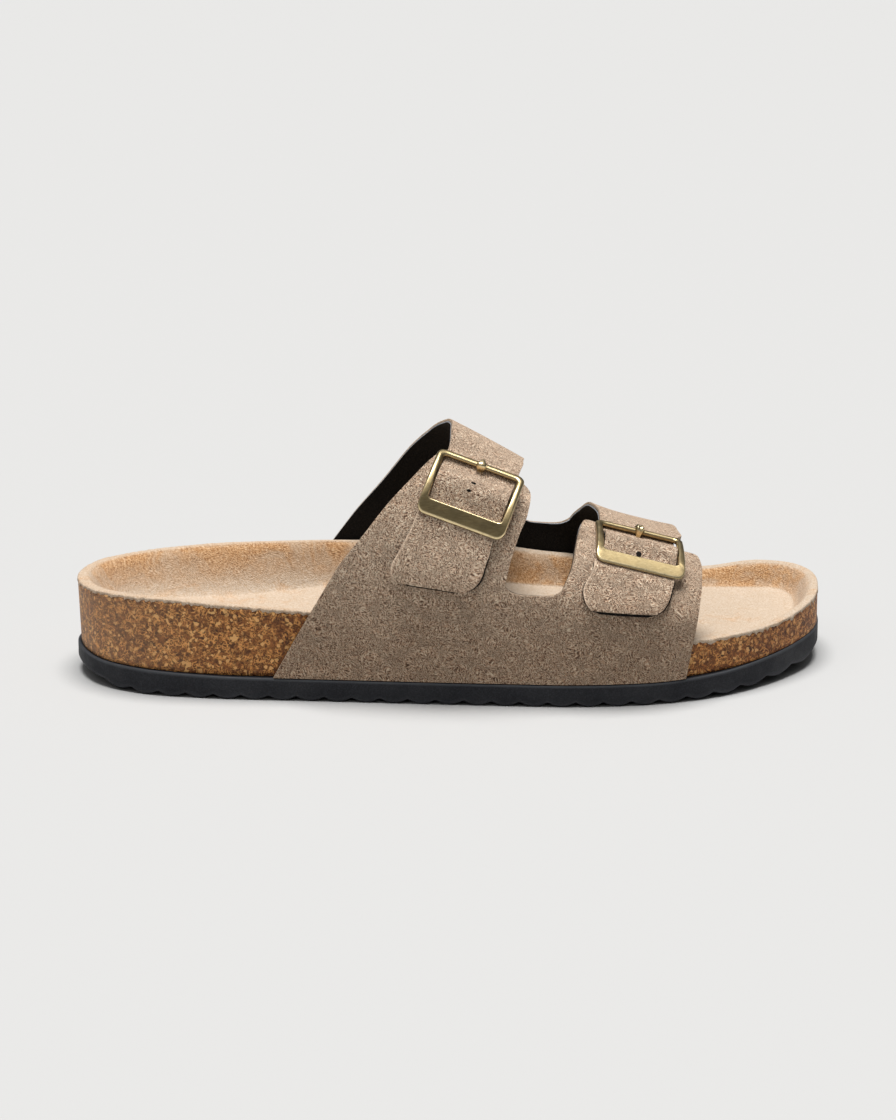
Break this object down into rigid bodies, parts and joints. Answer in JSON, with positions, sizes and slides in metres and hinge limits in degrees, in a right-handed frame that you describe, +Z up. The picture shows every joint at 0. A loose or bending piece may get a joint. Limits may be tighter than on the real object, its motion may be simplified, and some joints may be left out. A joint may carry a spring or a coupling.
{
  "type": "footbed sandal",
  "caption": "Open slip-on sandal with a moulded cork footbed, suede lining, buckled suede straps over the instep and a ribbed flat outsole, for the right foot.",
  "frame": {"origin": "centre of the bounding box on the floor, under the sole", "axes": "+X from heel to toe, +Y from the lateral to the medial side, +Z up"},
  "size_m": [0.2844, 0.1082, 0.0968],
  "materials": {
    "eva_black": "matte black foam rubber",
    "cork": "sealed granular cork",
    "footbed_suede": "beige suede",
    "upper_suede": "taupe suede with a black lining",
    "brass": "brushed antique brass"
  },
  "bodies": {
    "root": {"outsole": "eva_black", "footbed_cork": "cork", "footbed_lining": "footbed_suede", "upper": "upper_suede", "rear_buckle_frame": "brass", "rear_buckle_prong": "brass", "front_buckle_frame": "brass", "front_buckle_prong": "brass"}
  },
  "joints": []
}
